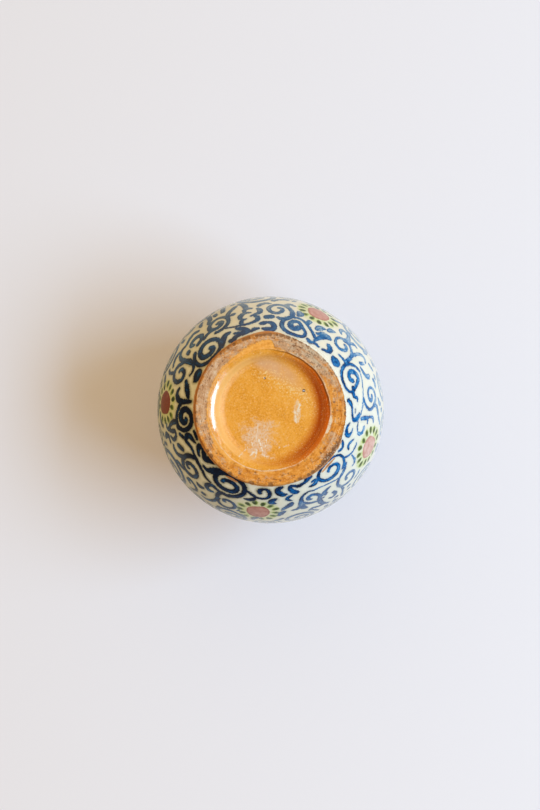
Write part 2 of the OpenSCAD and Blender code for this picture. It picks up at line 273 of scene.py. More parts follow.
# how full the strokes are round the vase, against the widths of their centre lines
brushSwell = (0, 1.18, 40, 1.2, 70, 1.28, 95, 1.33, 130, 1.33, 180, 1.28, 225, 1.38, 270, 1.4, 300, 1.22)
upperTurn = 38.0  # the upper half repeats the lower brushwork, mirrored and turned by this angle

# degrees between the points of a scroll and of a line, and how much a degree of azimuth counts in a length
brushPath = dict(turnStep=5.0, lineStep=0.5, azimuthShare=.8)
# colour at a stroke's start, what it loses by its end, and mm between the bristle marks of two strokes
brushTone = dict(start=1.06, loss=.2, apart=61.0)
strokeWeight = dict(full=1.0, belly=.9, pale=.45, neck=.9, fill=.95)  # how strong each kind of stroke is
# rings below the neck as polar angle and width in mm, and a garland of leaves that narrow to their tips
neckBand = dict(rings=((151.5, 2.2), (149.2, .9)), leaves=16, start=147.2, reach=6, lean=5, bend=1.6,
                wide=3.4, tip=1.2)
paintReach = 4.0  # mm outside a painted shape up to which its distance is measured


# a scroll's centre line: a spiral whose radius follows its knots, laid on the globe about its centre
def scrollPath(az, pol, squash, widths, knots):
    turn = np.arange(knots[0], knots[-2], brushPath["turnStep"])
    radius = smoothThrough(knots[0::2], knots[1::2], turn)
    width = np.interp(turn, np.linspace(turn[0], turn[-1], len(widths)), widths)
    u, v = radius * np.cos(np.radians(turn)), squash * radius * np.sin(np.radians(turn))
    polar = pol + np.degrees(v / globe["radius"])
    return az + np.degrees(u / (globe["radius"] * np.sin(np.radians(polar)))), polar, width


# a brush line's centre line: a smooth curve through its points, by the length between them
def linePath(flat):
    pts = np.array(flat, float).reshape(-1, 3)
    steps = np.hypot(np.diff(pts[:, 0]) * brushPath["azimuthShare"], np.diff(pts[:, 1]))
    along = np.concatenate([[0], np.cumsum(steps)])
    fine = np.linspace(0, along[-1], max(3, int(along[-1] / brushPath["lineStep"])))
    return tuple(smoothThrough(along, pts, fine).T)


# knots of the belly's spiral: its radii times the reach, its angles moved on by the start
def spiralKnots(reach, start=0):
    return [v * reach if i % 2 else v + start for i, v in enumerate(bellySpiral)]


# every stroke of the decoration as azimuth, polar angle, width and weight along its path
def allStrokes():
    w, band = strokeWeight, neckBand
    lower = [scrollPath(*s) + (w["full"],) for s in brushScrolls]
    for az, pol, reach in bellyScrolls:
        widths = np.minimum(reach * bellyBrush, bellyWidest)
        lower.append(scrollPath(az, pol, 1, widths, spiralKnots(reach)) + (w["belly"],))
    lower += [linePath(s) + (w["full"],) for s in brushLines]
    lower += [linePath(s) + (w["pale"],) for s in paleLines]
    upper = [(az + upperTurn, 180 - pol, width, weight) for az, pol, width, weight in lower]
    turn, t = np.linspace(0, 360, 181), np.linspace(0, 1, 9)
    rings = [(turn, pol + 0 * turn, width + 0 * turn, w["neck"]) for pol, width in band["rings"]]
    narrowing = band["wide"] + (band["tip"] - band["wide"]) * t
    leaning, rising = band["lean"] * t ** band["bend"], band["start"] - band["reach"] * t
    starts = np.arange(band["leaves"]) * 360 / band["leaves"]
    garland = [(start + leaning, rising, narrowing, w["neck"]) for start in starts]
    return lower + upper + rings + garland


# the belly's filling: polar angles it lies between, mm of room measured, the least room worth filling, the
# most strokes, the room above which a scroll fits, and how much of its room each spans and takes
belly = dict(low=72.0, high=140.0, far=12.0, room=3.2, most=220, scrollRoom=7.5, scrollReach=.78,
             scrollTakes=.8, scrollTurn=137, leafReach=1.15, leafWide=.74, leafTakes=.6, leafHeading=2.4,
             leafBow=1.5)


# leaves and small scrolls for the belly: each goes where the most room is left, its size set by that room
def bellyFill(strokes):
    b = belly
    grid = np.meshgrid(np.arange(0, 360, 2.5), np.arange(b["low"], b["high"], 2.0))
    az, pol = (g.ravel() for g in grid)
    space = -brushField(strokes, az, pol, b["far"])[0]
    space = np.minimum(space, np.maximum(-rosetteField(az, pol, b["far"])[2], -b["far"]))
    spots = globe["radius"] * direction(az, pol)
    t = np.linspace(0, 1, 9)
    added = []
    for k in range(b["most"]):
        best = int(np.argmax(space))
        room, hand = space[best], (-1) ** k
        if room < b["room"]:
            break
        if room > b["scrollRoom"]:
            reach = room * b["scrollReach"]
            knots = spiralKnots(reach, b["scrollTurn"] * k)
            stroke = scrollPath(az[best], pol[best], hand, reach * bellyBrush, knots)
            taken = room * b["scrollTakes"]
        else:
            turn = b["leafHeading"] * k + b["leafBow"] * hand * (t - .5)
            along = room * b["leafReach"] * (t - .5)[:, None] * np.stack([np.cos(turn), np.sin(turn)], -1)
            away = np.degrees(along / globe["radius"])
            stroke = (az[best] + away[:, 0] / math.sin(math.radians(pol[best])), pol[best] + away[:, 1],
                      b["leafWide"] * room * np.sin(math.pi * (.18 + .75 * t)) ** .8)
            taken = room * b["leafTakes"]
        added.append(stroke + (strokeWeight["fill"],))
        space = np.minimum(space, np.linalg.norm(spots - spots[best], axis=1) - taken)
    return added


# signed distance in mm inside the nearest brush stroke, the weight of that stroke's colour,
# and the place along the stroke and across it in mm, which the bristle marks follow
def brushField(strokes, azimuth, polar, far=paintReach):
    pts = globe["radius"] * direction(azimuth, polar)
    inside, weight, along, across = np.full(len(pts), -far), *np.zeros((3, len(pts)))
    for order, (az, pol, width, strength) in enumerate(strokes):
        path = globe["radius"] * direction(np.asarray(az), np.asarray(pol))
        middle = (path.min(0) + path.max(0)) / 2
        reach = np.linalg.norm(path - middle, axis=1).max() + width.max() + far
        near = np.flatnonzero(((pts - middle) ** 2).sum(1) < reach**2)
        if not len(near):
            continue
        start, leg = path[:-1], np.diff(path, axis=0)
        width = width * aroundTurn(brushSwell, az)
        best, where, aside = np.full(len(near), -far), *np.zeros((2, len(near)))
        for k in range(len(leg)):
            away = pts[near] - start[k]
            t = np.clip(away @ leg[k] / max(leg[k] @ leg[k], 1e-9), 0, 1)
            off = np.linalg.norm(away - t[:, None] * leg[k], axis=1)
            deep = ((1 - t) * width[k] + t * width[k + 1]) / 2 - off
            better = deep > best
            best[better], where[better] = deep[better], (k + t[better]) / len(leg)
            hand = np.einsum("ij,ij->i", np.cross(leg[k], away[better]), pts[near[better]])
            aside[better] = np.copysign(off[better], hand)
        better = best > inside[near]
        hit = near[better]
        inside[hit], across[hit] = best[better], aside[better]
        along[hit] = order * brushTone["apart"] + where[better] * np.linalg.norm(leg, axis=1).sum()
        weight[hit] = strength * (brushTone["start"] - brushTone["loss"] * where[better])
    return inside, weight, along, across


# signed distances in mm for the rosettes: the rose centre, the green petals and the pale green halo
def rosetteField(azimuth, polar, reach=paintReach):
    shape = rosette
    rose, petal, halo = (np.full(len(azimuth), -reach) for _ in range(3))
    depth = np.zeros(len(azimuth))
    pitch = 2 * math.pi / shape["petals"]
    centres = rosettes + [(az + upperTurn, 180 - pol, deep) for az, pol, deep in rosettes]
    for az, pol, deep in centres:
        u = np.radians((azimuth - az + 180) % 360 - 180) * globe["radius"] * np.sin(np.radians(polar))
        v = np.radians(polar - pol) * globe["radius"]
        far, turn = np.hypot(u, v), np.arctan2(v, u)
        waver = .5 * np.sin(3 * turn + az) + .3 * np.sin(5 * turn - pol)
        oval = np.hypot(u / shape["halfWidth"], v / shape["halfHeight"])
        rose = np.maximum(rose, (1 - oval) * shape["halfWidth"] + shape["roseWaver"] * waver)
        nearest = np.round(turn / pitch)
        bend = (turn - nearest * pitch) * shape["petalRing"]
        ring = far - shape["petalRing"] - shape["petalSway"] * np.sin(nearest * 2.4 + az)
        leaf = np.hypot(bend / shape["petalWide"], ring / shape["petalLong"])
        size = shape["petalWide"] * (1 + shape["petalVary"] * np.sin(nearest * 1.7))
        petal = np.maximum(petal, (1 - leaf) * size)
        halo = np.maximum(halo, shape["halo"] - far + waver)
        depth[far < shape["halo"]] = deep
    return rose, petal, halo, depth


# throwing marks: height in mm and count of the rings, lobes and ripples, and degrees over which they fade
thrown = dict(ring=.10, rings=21, lobe=.12, lobes=2, ripple=.06, ripples=5, topFade=8, footFade=4)


# slow unevenness of the thrown wall in mm: shallow throwing rings and a few wide lobes, none at the cuts
def throwingMarks(azimuth, polar):
    t, a, p = thrown, np.radians(azimuth), np.radians(polar)
    marks = t["ring"] * np.sin(p * t["rings"] + .6 * np.sin(a))
    marks += t["lobe"] * np.sin(t["lobes"] * a + .7 + 2 * p)
    marks += t["ripple"] * np.sin(t["ripples"] * a - 3 * p)
    low, high = globe["footEdge"], globe["shoulder"]
    return marks * between(polar, low, low + t["footFade"], high - t["topFade"], high)


# closed ring of quads from a grid of points, joined round both ways, with a clean grid map for its UVs
def ringMesh(name, pts, values):
    rows, columns = pts.shape[:2]
    index = np.arange(rows * columns).reshape(rows, columns)
    down, right = np.roll(index, -1, axis=0), np.roll(index, -1, axis=1)
    quads = np.stack([index, right, np.roll(down, -1, axis=1), down], axis=-1)
    return meshFrom(name, pts.reshape(-1, 3), [quads], [gridCorners(rows, columns)], values)


# closed cap of quads from a grid of points whose first and last rows shrink to one point each on the axis
def capMesh(name, pts, values):
    rows, columns = pts.shape[:2]
    whole = np.concatenate([pts[1:-1].reshape(-1, 3), [pts[0, 0], pts[-1, 0]]])
    index = np.arange((rows - 2) * columns).reshape(rows - 2, columns)
    right = np.roll(index, -1, axis=1)
    quads = np.stack([index[:-1], right[:-1], right[1:], index[1:]], axis=-1)
    first, last = index.size, index.size + 1
    fans = np.stack([np.stack([np.full(columns, first), right[0], index[0]], -1),
                     np.stack([np.full(columns, last), index[-1], right[-1]], -1)])
    corners = gridCorners(rows - 1, columns)
    tips = np.stack([corners[0][:, [0, 2, 3]], corners[-1][:, [3, 0, 1]]])
    joined = {k: np.concatenate([v[1:-1].ravel(), [v[0, 0], v[-1, 0]]]) for k, v in values.items()}
    return meshFrom(name, whole, [quads, fans], [corners[1:-1], tips], joined)


# UV corners of a grid of quads: columns run across the map and rows run up it
def gridCorners(rows, columns):
    r, c = np.mgrid[0:rows, 0:columns]
    steps = ((0, 0), (1, 0), (1, 1), (0, 1))
    return np.stack([np.stack([c + right, r + up], -1) for right, up in steps], axis=2) / [columns, rows]


sharpAngle = 50  # degrees between faces above which an edge is drawn sharp


# mesh object from vertices in mm, blocks of faces, UVs for each face corner and named values at each vertex
def meshFrom(name, pts, blocks, corners, values):
    loops = np.concatenate([b.ravel() for b in blocks])
    sizes = np.concatenate([np.full(b.size // b.shape[-1], b.shape[-1]) for b in blocks])
    mesh = bpy.data.meshes.new(name)
    mesh.vertices.add(len(pts))
    mesh.vertices.foreach_set("co", (pts * mm).ravel())
    mesh.loops.add(len(loops))
    mesh.loops.foreach_set("vertex_index", loops)
    mesh.polygons.add(len(sizes))
    mesh.polygons.foreach_set("loop_start", np.cumsum(sizes) - sizes)
    mesh.update(calc_edges=True)
    bakeMap = mesh.uv_layers.new(name="OFBake")
    bakeMap.data.foreach_set("uv", np.concatenate([c.ravel() for c in corners]))
    for key, value in values.items():
        mesh.attributes.new(key, "FLOAT", "POINT").data.foreach_set("value", value.ravel())
    mesh.polygons.foreach_set("use_smooth", np.ones(len(sizes), bool))
    mesh.set_sharp_from_angle(angle=math.radians(sharpAngle))
    mesh.validate()
    obj = bpy.data.objects.new(name, mesh)
    bpy.context.scene.collection.objects.link(obj)
    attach(obj, "root")
    return obj


# painted values for glaze that carries no brushwork
def plainGlaze(shape):
    outside = dict.fromkeys(("cobalt", "rose", "petal", "halo"), -paintReach)
    unset = dict.fromkeys(("cobaltTone", "smoke", "roseDeep", "brushAlong", "brushAcross"), 0.0)
    return {key: np.full(shape, value) for key, value in {**outside, **unset, "glazeEdge": 20.0}.items()}


decoration = allStrokes()
decoration += bellyFill(decoration)
bareStrokes = [linePath(s) + (strokeWeight["full"],) for s in clayLines]
print("decoration:", len(decoration), "strokes")

# grid of the painted glaze, the height of the paint in mm, and the degrees over which it fades at a cut
glazeGrid = dict(columns=800, rows=109, innerRows=12, supportRow=0.08, brushLift=0.05, brushEdge=0.6,
                 roseLift=0.08, liftFade=0.2)
# the cobalt gathers near the foot and the neck: polar angle of the even tone and the sum that mirrors it,
# degrees for one whole tone, and the least and the most that is added
cobaltGather = dict(even=52, mirror=160, degrees=60, least=-.24, most=.15)


# glaze over a zone of the globe: outer rows follow the thrown wall and the paint, inner rows lie on clay
def globeGlaze(name, lowPolar, highPolar):
    g, gather = glazeGrid, cobaltGather
    low, high = globe["footEdge"], globe["shoulder"]
    polar = np.linspace(lowPolar + g["supportRow"], highPolar - g["supportRow"], g["rows"] - 2)
    turn = np.arange(g["columns"]) * 360 / g["columns"]
    az, pol = np.meshgrid(turn, np.concatenate([[lowPolar], polar, [highPolar]]))
    flatAz, flatPol = az.ravel(), pol.ravel()
    cobalt, weight, along, across = brushField(decoration, flatAz, flatPol)
    bare = brushField(bareStrokes, flatAz, flatPol)[0]
    rose, petal, halo, deep = rosetteField(flatAz, flatPol)
    near = (gather["even"] - np.minimum(flatPol, gather["mirror"] - flatPol)) / gather["degrees"]
    thick = weight * aroundTurn(cobaltWeight, flatAz) + np.clip(near, gather["least"], gather["most"])
    lift = g["brushLift"] * fade(cobalt, 0, g["brushEdge"]) + g["roseLift"] * fade(rose, 0, 1)
    lift = lift * between(flatPol, low, low + g["liftFade"], high - g["liftFade"], high)
    radius = (globe["radius"] + throwingMarks(flatAz, flatPol) + lift).reshape(az.shape)
    outer = direction(az, pol) * radius[..., None]

    def level(p):  # on the clay the cut at the foot stays level, so the polar angle there is smaller
        return np.degrees(np.arccos(np.cos(np.radians(p)) * globe["radius"] / globe["clayRadius"]))

    azIn, polIn = np.meshgrid(turn, np.linspace(level(highPolar), level(lowPolar), g["innerRows"]))
    inner = direction(azIn, polIn) * globe["clayRadius"]
    pts = np.concatenate([outer, inner]) + [0, 0, globe["centreZ"]]
    smoke = aroundTurn(smokeWeight, flatAz) + aroundTurn(smokeAbove, flatAz) * fade(flatPol, *smokeBand)
    edge = np.radians(flatPol - aroundTurn(glazeLine, flatAz)) * globe["radius"]
    painted = dict(cobalt=cobalt, cobaltTone=thick, brushAlong=along, brushAcross=across, smoke=smoke,
                   rose=rose, petal=petal, halo=halo, roseDeep=deep, glazeEdge=np.minimum(edge, -bare))
    hidden = plainGlaze(azIn.shape)
    values = {k: np.concatenate([painted[k].reshape(az.shape), hidden[k]]) for k in painted}
    return ringMesh(name, pts, values)


lowerGlaze = globeGlaze("glaze_lower", globe["footEdge"], globe["belly"])
upperGlaze = globeGlaze("glaze_upper", globe["belly"], globe["shoulder"])
print("painted glaze:", len(lowerGlaze.data.vertices) + len(upperGlaze.data.vertices), "points")


# points along a circular arc of a half section, from one angle to another in degrees
def arc(x, z, radius, start, end, count):
    a = np.radians(np.linspace(start, end, count))
    return np.stack([x + radius * np.cos(a), z + radius * np.sin(a)], -1)


# points along a straight line of a half section
def run(start, end, count):
    return np.linspace(start, end, count)


# a half section carried round the axis: radius and height at every azimuth
def revolve(section, columns):
    a = np.arange(columns) * 2 * math.pi / columns
    return np.stack([section[:, :1] * np.cos(a), section[:, :1] * np.sin(a), section[:, 1:] + 0 * a], -1)


# the neck's section: throat, lip and bore in mm with the degrees of each arc, in front and on the clay
# behind, and its painted lines as half width and place along the section
neck = dict(columns=480, throat=(40.0, 141.886), throatR=7.5, throatArc=(228.2, 178.0), lip=(30.4, 145.886),
            lipR=4.3, lipArc=(-57, 155.1), boreR=26.5, boreTop=147.3, glaze=0.5, backTop=147.0,
            backLip=(153, -57), backThroat=(178, 226), lines=((1.7, 15.2), (0.5, 3.0)), tone=.9, pooling=3)


# glaze over the neck: the hollow throat runs up into the rolled lip and over it into the bore
def neckGlaze():
    n = neck
    lipX, lipZ = n["lip"]
    shell = np.concatenate([arc(*n["throat"], n["throatR"], *n["throatArc"], 26),
                            arc(lipX, lipZ, n["lipR"], *n["lipArc"], 44),
                            run((n["boreR"], n["boreTop"]), (n["boreR"], lipZ), 5)])
    for _ in range(n["pooling"]):  # the glaze pools a little in the crease under the lip
        shell[1:-1] = (shell[:-2] + 2 * shell[1:-1] + shell[2:]) / 4
    clayR = n["boreR"] + n["glaze"]
    back = np.concatenate([run((clayR, lipZ), (clayR, n["backTop"]), 3),
                           arc(lipX, lipZ, n["lipR"] - n["glaze"], *n["backLip"], 24),
                           arc(*n["throat"], n["throatR"] + n["glaze"], *n["backThroat"], 12)])
    pts = revolve(np.concatenate([shell, back]), n["columns"])
    az = np.degrees(np.arctan2(pts[..., 1], pts[..., 0]))
    front = slice(len(shell))
    along = np.concatenate([[0], np.cumsum(np.linalg.norm(np.diff(shell, axis=0), axis=1))])[:, None]
    waver = .25 * np.sin(np.radians(az * 5)) + .2 * np.sin(np.radians(az * 11 + 40))
    lines = np.max([half - np.abs(along - middle) for half, middle in n["lines"]], axis=0)
    values = plainGlaze(pts.shape[:2])
    values["cobalt"][front] = np.maximum(lines + waver[front], -paintReach)
    values["brushAcross"][front] = along
    values["brushAlong"][:] = np.radians(az) * lipX
    values["cobaltTone"][:] = aroundTurn(cobaltWeight, az) * n["tone"]
    return ringMesh("glaze_neck", pts, values)


neckCoat = neckGlaze()

# the amber recess in mm, with its slope in degrees by radius: a flat floor, a cove, and a worn bevel up to
# the tread; the radii behind it follow the clay
recess = dict(columns=400, floorZ=6.5, clayZ=7.0, edgeR=42.5, edgeZ=0.10, floorR=30, glaze=.35, ring=0.03,
              sag=.16, slope=(0, 0, 31, 0, 33, 14, 35, 36, 36.6, 56, 37.8, 50, 38.6, 31, 39.6, 22, 41.2, 14,
                              42.5, 10),
              back=(42.35, 41.4, 40.2, 38.8, 37.4, 35.5, 33, 30), backFloor=25)
# how far the edge between recess and tread lies outside its mean radius, in mm by azimuth
edgeOffset = (0, -2.1, 30, -2.6, 60, -2.3, 90, -1.3, 120, -.1, 150, -.2, 180, 0, 210, -.1, 240, -.3,
              270, -.8, 300, -1.9, 318, -1.9, 335, -2.1)
# how dark the cove is painted by azimuth: glaze pooled deeper in the cove, darkened most on the side that
# faces away from the window as painted shade
coveShadeTurn = (0, 1, 30, .9, 60, .72, 80, .25, 95, 0, 180, 0, 265, 0, 285, .25, 300, .6, 330, 1)


# height of the recess surface at a radius: the slopes summed outward, scaled to end at the bevel's edge
def recessHeight(radius):
    steps = np.linspace(0, recess["edgeR"], 1200)
    fall = np.cumsum(np.tan(np.radians(np.interp(steps, recess["slope"][0::2], recess["slope"][1::2]))))
    drop = recess["floorZ"] - recess["edgeZ"]
    return recess["floorZ"] - drop * np.interp(radius, steps, fall / fall[-1])


# how far the edge between recess and tread wanders in and out, in mm by azimuth in radians
def edgeSway(az):
    return (aroundTurn(edgeOffset, np.degrees(az)) + .15 * np.sin(7 * az + 1) + .14 * np.sin(11 * az + 2)
            + .1 * np.sin(23 * az))


# the foot in mm; bounds are the radii or heights between which an effect comes in and goes out
foot = dict(columns=720, innerR=42.4, outerR=52.5, edgeR=1.5, topZ=4.0, seatR=38.933, coveR=38.4,
            coveGap=.4, bevel=1, innerBounds=(37, 41, 42, 46), outerBounds=(46, 52), seatBounds=(3.6, 1.6),
            wornBounds=(2.6, .6), grooveBounds=(43, 45), wobble=0.2, worn=.09, wornVary=.05)
# marks pressed into the tread: counts, and ranges for the radius, the span in radians, the size and depth
treadDents = dict(seed=11, gouges=30, gougeR=(43, 51), gougeSpan=(.02, .12), gougeWide=(.25, .55),
                  gougeDeep=(.1, .35), drift=6, pits=240, pitR=(43.3, 51.5), pitSize=(.3, 1.0),
                  pitDeep=(.1, .4), chips=60, chipR=51.7, chipSize=(.8, 2.2), chipDeep=(.25, .7),
                  chipSide=(4.7, .45))
# wear round the tread by azimuth: flaking crust, rubbed grey, dirt along the outer edge, a pale line along
# the inner edge that is partly a chipped sliver and partly a painted highlight where the glaze edge catches
# the light, how far the amber glaze laps over that edge in mm, and raw clay along the outer edge
treadWear = dict(
    crust=(0, .1, 15, 0, 265, 0, 285, .7, 305, 1, 318, .9, 330, .5, 350, .25),
    rubbed=(0, .02, 18, .08, 27, .45, 34, .38, 44, .12, 90, .08, 140, .15, 165, .6, 200, .8, 235, .6,
            262, .45, 285, .8, 310, .95, 328, .5, 350, .15),
    dirty=(0, .3, 15, .5, 30, .9, 48, .9, 60, .45, 75, .3, 110, .35, 150, .3, 200, .3, 225, .4, 245, .4,
           265, .3, 290, .35, 315, .4, 335, .2),
    pale=(0, .6, 6, .95, 11, 1.12, 17, 1.12, 22, .95, 28, .4, 50, .3, 85, .8, 115, .7, 150, .5, 200, .3,
          250, 0, 285, .2, 320, .35, 345, .6),
    lap=(0, -1.6, 60, -.6, 90, .2, 105, .8, 120, 2.4, 140, 3.0, 155, 2.2, 180, 1.6, 205, 1.4, 216, 1.6,
         226, 1.9, 238, 2.4, 246, 3.4, 256, 4.6, 266, 5.8, 270.5, 5.4, 274, 1.6, 283, .5, 290, -1.6,
         330, -2),
    raw=(0, 0, 95, 0, 120, .7, 140, 1, 200, 1, 225, .6, 245, 0, 300, 0))


# depth in mm of the dents in the tread: long gouges that follow the turning, then pits, then chips
def dentDepth(x, y, radius, az):
    d = treadDents
    rng = np.random.default_rng(d["seed"])
    dent = np.zeros_like(radius)
    for k in range(d["gouges"]):
        a, r, span = rng.uniform(0, 2 * math.pi), rng.uniform(*d["gougeR"]), rng.uniform(*d["gougeSpan"])
        near = (az - a + math.pi) % (2 * math.pi) - math.pi
        off = radius - r - d["drift"] * near * rng.uniform(-1, 1)
        far = np.hypot(near / span, off / rng.uniform(*d["gougeWide"]))
        dent = np.maximum(dent, rng.uniform(*d["gougeDeep"]) * np.clip(1 - far**2, 0, 1))
    for k in range(d["pits"] + d["chips"]):
        chip = k >= d["pits"]
        a = rng.normal(*d["chipSide"]) if chip and k % 2 else rng.uniform(0, 2 * math.pi)
        r = d["chipR"] if chip else rng.uniform(*d["pitR"])
        size = rng.uniform(*d["chipSize" if chip else "pitSize"])
        deep = rng.uniform(*d["chipDeep" if chip else "pitDeep"])
        far = np.hypot(x - r * math.cos(a), y - r * math.sin(a)) / size
        dent = np.maximum(dent, deep * np.clip(1 - far**2, 0, 1))
    return dent


# foot ring: tread, worn edge, side, seat, cove and rounded inner edge carried round;
# turning grooves, pits and chips are pressed into the tread
def footRing():
    f = foot
    inner, outer, edge, top = recess["edgeR"] + f["bevel"], f["outerR"] - f["edgeR"], f["edgeR"], f["topZ"]
    cove = np.linspace(f["coveR"], recess["edgeR"] - .1, 9)
    section = np.concatenate([
        run((recess["edgeR"], recess["edgeZ"]), (inner, 0), 5),
        run((inner, 0), (outer, 0), 36)[1:],
        arc(outer, edge, edge, -90, 0, 10)[1:],
        run((f["outerR"], edge), (f["outerR"], top), 6)[1:],
        run((f["outerR"], top), (f["seatR"], top), 4)[1:],
        np.stack([cove, np.minimum(recessHeight(cove) + f["coveGap"], top - .1)], -1)])
    pts = revolve(section, f["columns"])
    x, y, z = (pts[..., k].copy() for k in range(3))
    radius, az = np.hypot(x, y), np.arctan2(y, x)
    # the turned outer edge wavers, with none at the seat, and the inner edge wanders with the recess
    sway = f["wobble"] * (np.sin(3 * az + 1) + .6 * np.sin(7 * az) + .4 * np.sin(13 * az + 2))
    shift = (sway * fade(z, *f["seatBounds"]) * fade(radius, *f["outerBounds"])
             + edgeSway(az) * between(radius, *f["innerBounds"]))
    dent = dentDepth(x, y, radius, az)
    groove = .05 * np.sin(radius * 5.1 + 1.5 * np.sin(2 * az))
    groove += .035 * np.sin(radius * 9.3 + 2 * np.sin(3 * az))
    worn = f["worn"] + f["wornVary"] * np.sin(2 * az + .8) + groove * fade(radius, *f["grooveBounds"])
    pts[..., 0] += shift * np.cos(az)
    pts[..., 1] += shift * np.sin(az)
    pts[..., 2] += np.clip(worn + dent, 0, None) * fade(z, *f["wornBounds"])
    turn = np.degrees(az)
    line = globe["radius"] * np.sin(np.radians(aroundTurn(glazeLine, turn)))
    values = {key: aroundTurn(pairs, turn) for key, pairs in treadWear.items()}
    values.update(glazeOver=radius + shift - line, dent=dent, rim=radius - f["innerR"])
    return ringMesh("foot_ring_clay", pts, values)


footClay = footRing()

# marks on the recess floor, in mm from the axis: a frosted scuff and a pale smear that is also a painted
# highlight, as ovals, pits with their size, a hazy film beside a line, which is partly a painted
# reflection, and scratches from end to end with their half width
recessMarks = dict(scuff=(-8.5, 19.5, 13.5, 15.5), gleamSmear=(18.2, .9, 2.8, 8.6), pitDeep=.35,
                   pits=[(22.9, -13.3, 1.3), (-4, -21.8, .8)], filmSheen=(-19.3, -32.9, .505, -.863),
                   scratches=[(-8.1, 20.2, -5.7, 27.9, 1.0), (-12.9, 22.4, -12.4, 24.2, 1.0),
                              (-14, 31.4, -9.8, 27.4, .9), (-21.6, 32, -15.8, 25.5, .6),
                              (-5.7, 30.8, -1.6, 32.5, .8), (-2.8, 20.2, -3.4, 24.9, .7),
                              (5.4, 26, 12.5, 24.3, .55), (-9.5, 27.5, -10.4, 32.4, .9),
                              (20, -4.4, 18.6, 3.2, 1.5), (17.2, .8, 17.3, 8.6, 1.1)])
# radii in mm, or mm beside the film's line, between which a mark comes in and goes out
recessBounds = dict(sway=(37, 41), ripple=(38, 32), middle=(0, 3), runs=(33, 36, 39, 41),
                    coveLight=(34.4, 35.1, 38.7, 40.2), dull=(30, 33, 38.2, 39.4), filmSheenSide=(0, 5, 10, 24),
                    filmSheenEdge=(38, 33), filmSheenRight=(30, 8), glintZoneSide=(9, 0), glintZoneEdge=(33, 27),
                    edgeShadow=(41.5, 42.1), coveShade=(32.6, 39))


# amber glaze in the recess: a flat floor with faint throwing rings, and the cove down to where it stops
def recessGlaze():
    r, m, b = recess, recessMarks, recessBounds
    out = np.concatenate([np.linspace(0, r["floorR"], 50), np.linspace(r["floorR"], r["edgeR"], 44)[1:]])
    back = np.array(r["back"])
    section = np.concatenate([np.stack([out, recessHeight(out)], -1),
                              np.stack([back, np.minimum(recessHeight(back) + r["glaze"], r["clayZ"])], -1),
                              run((r["backFloor"], r["clayZ"]), (0, r["clayZ"]), 4)])
    pts = revolve(section, r["columns"])
    front = pts[:len(out)]
    x, y = front[..., 0].copy(), front[..., 1].copy()
    radius, az = np.hypot(x, y), np.arctan2(y, x)
    sway = edgeSway(az) * fade(radius, *b["sway"])
    ripple = (r["ring"] * np.sin(radius * 1.4 + az) + .05 * np.sin(3 * az + radius * .3)
              + .05 * np.sin(radius * .35) + .04 * np.sin(x * .5 + y * .8))
    # the cove's glaze runs a little unevenly, which breaks up its highlight
    runs = (.014 * np.sin(41 * az + 2 * np.sin(5 * az)) + .010 * np.sin(67 * az + radius)
            + .012 * np.sin(23 * az))
    pit = np.zeros_like(radius)
    for px, py, size in m["pits"]:
        pit = np.maximum(pit, np.clip(1 - ((x - px) ** 2 + (y - py) ** 2) / size**2, 0, 1))
    scratch = np.zeros_like(radius)
    for ax, ay, bx, by, wide in m["scratches"]:
        t = np.clip(((x - ax) * (bx - ax) + (y - ay) * (by - ay)) / ((bx - ax) ** 2 + (by - ay) ** 2), 0, 1)
        scratch = np.maximum(scratch, 1 - np.hypot(x - ax - t * (bx - ax), y - ay - t * (by - ay)) / wide)
    front[..., 0] += sway * np.cos(az)
    front[..., 1] += sway * np.sin(az)
    front[..., 2] -= (ripple + r["sag"]) * fade(radius, *b["ripple"]) * fade(radius, *b["middle"]) ** 2
    front[..., 2] += m["pitDeep"] * pit + runs * between(radius, *b["runs"])

    def oval(cx, cy, wide, tall):
        return 1 - np.hypot((x - cx) / wide, (y - cy) / tall)

    px, py, nx, ny = m["filmSheen"]
    side = (x - px) * nx + (y - py) * ny
    pooled = aroundTurn(coveShadeTurn, np.degrees(az))
    hazy = between(side, *b["filmSheenSide"]) * fade(radius + .25 * np.clip(x, 0, 24), *b["filmSheenEdge"])
    # paler amber on the side of the cove that faces the window: painted light
    marks = dict(coveLight=between(radius, *b["coveLight"]) * np.clip(.15 - 1.5 * np.cos(az - .13), 0, 1),
                 dull=between(radius, *b["dull"]) * np.clip(-.2 - 1.5 * np.cos(az), 0, 1),
                 # the pale smear is also a painted highlight
                 scuff=oval(*m["scuff"]), gleamSmear=oval(*m["gleamSmear"]), pit=pit, scratch=scratch,
                 # the hazy film: partly a film on the glaze, partly a painted reflection of the pale room
                 filmSheen=hazy * fade(x, *b["filmSheenRight"]),
                 # where the painted glints gather, along the film's line on the floor
                 glintZone=fade(np.abs(side - 1), *b["glintZoneSide"]) * fade(radius, *b["glintZoneEdge"]),
                 # a dark line painted along the recess edge on the right: painted shadow under the tread's
                 # inner edge
                 edgeShadow=fade(radius, *b["edgeShadow"]) * np.clip(2.6 * np.cos(az + .75) - 1.5, 0, .8),
                 # darker pooled glaze in the cove, strongest on the side away from the window: pooling and
                 # painted shade
                 coveShade=fade(radius + 5 * np.cos(az - .3), *b["coveShade"]) * pooled)
    values = {key: np.zeros(pts.shape[:2]) for key in marks}
    for key, value in marks.items():
        values[key][:len(out)] = value
    return capMesh("recess_glaze", pts, values)


footAmber = recessGlaze()
print("foot:", len(footClay.data.polygons) + len(footAmber.data.polygons), "faces")


